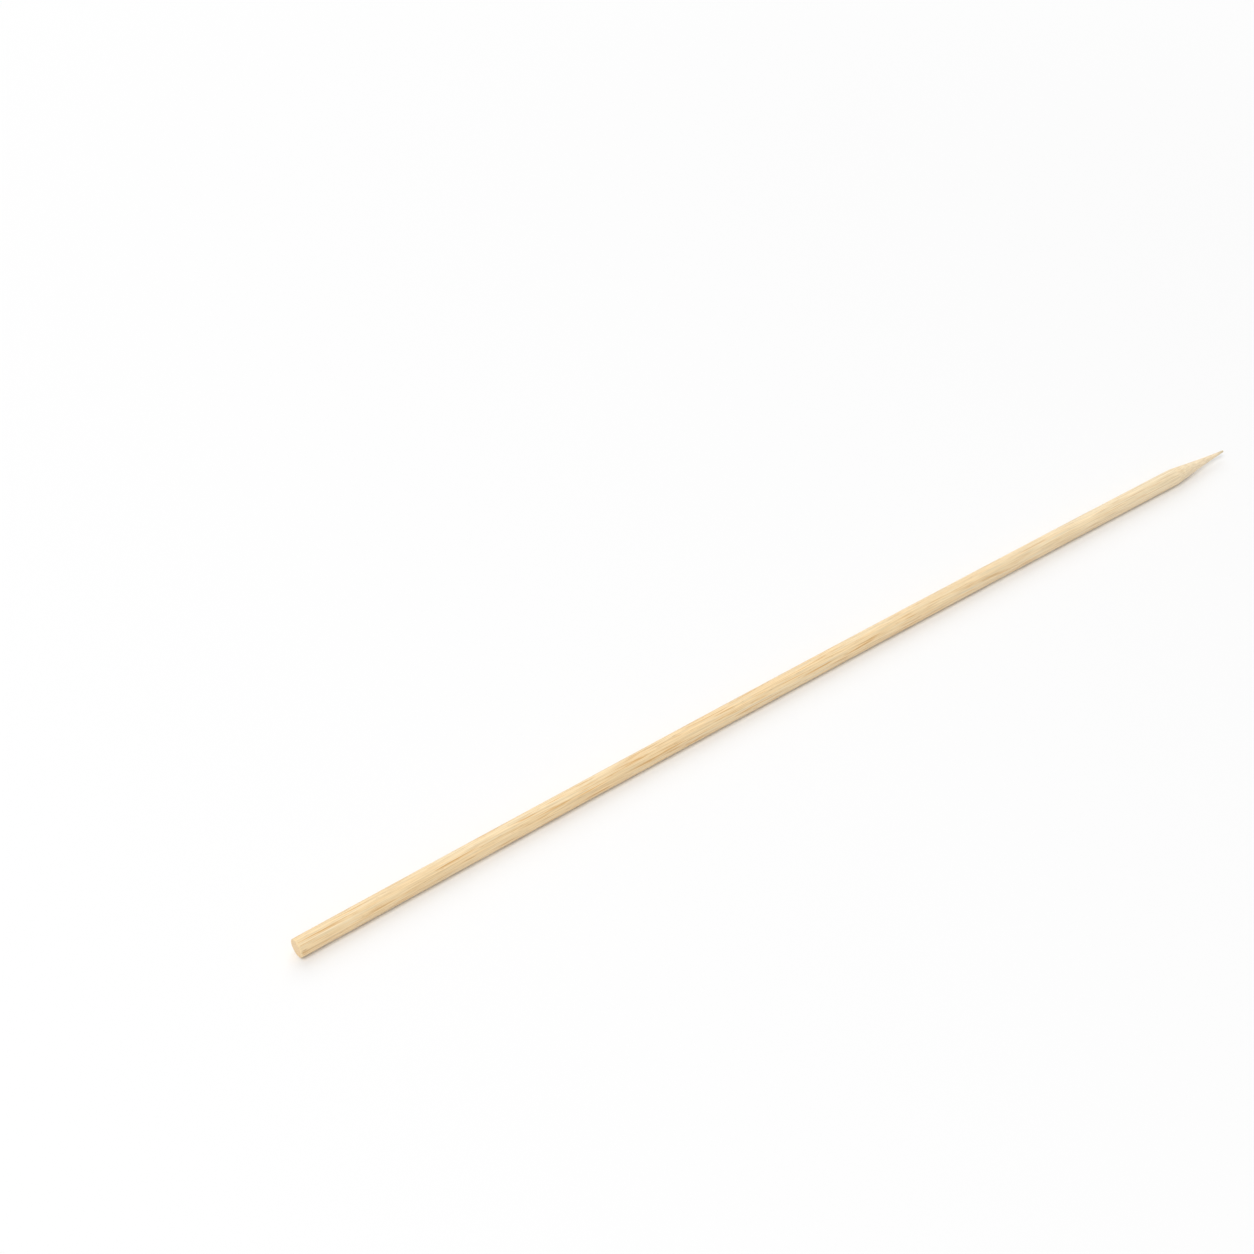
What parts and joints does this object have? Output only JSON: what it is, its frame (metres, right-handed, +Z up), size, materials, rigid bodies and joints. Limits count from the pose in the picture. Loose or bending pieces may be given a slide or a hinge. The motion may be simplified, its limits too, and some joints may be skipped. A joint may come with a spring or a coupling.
{
  "type": "wooden skewer",
  "caption": "Long round bamboo skewer with a ground point at one end and a square sawn butt, for holding food on a grill or a tray.",
  "frame": {"origin": "middle of the skewer's footprint, on the surface that it lies on", "axes": "+X along the skewer from the sawn butt to the point, +Y towards the outside of its slight bow, +Z up from the surface"},
  "size_m": [0.25, 0.0048, 0.004],
  "materials": {
    "bamboo": "satin"
  },
  "bodies": {
    "root": {"skewer": "bamboo"}
  },
  "joints": []
}
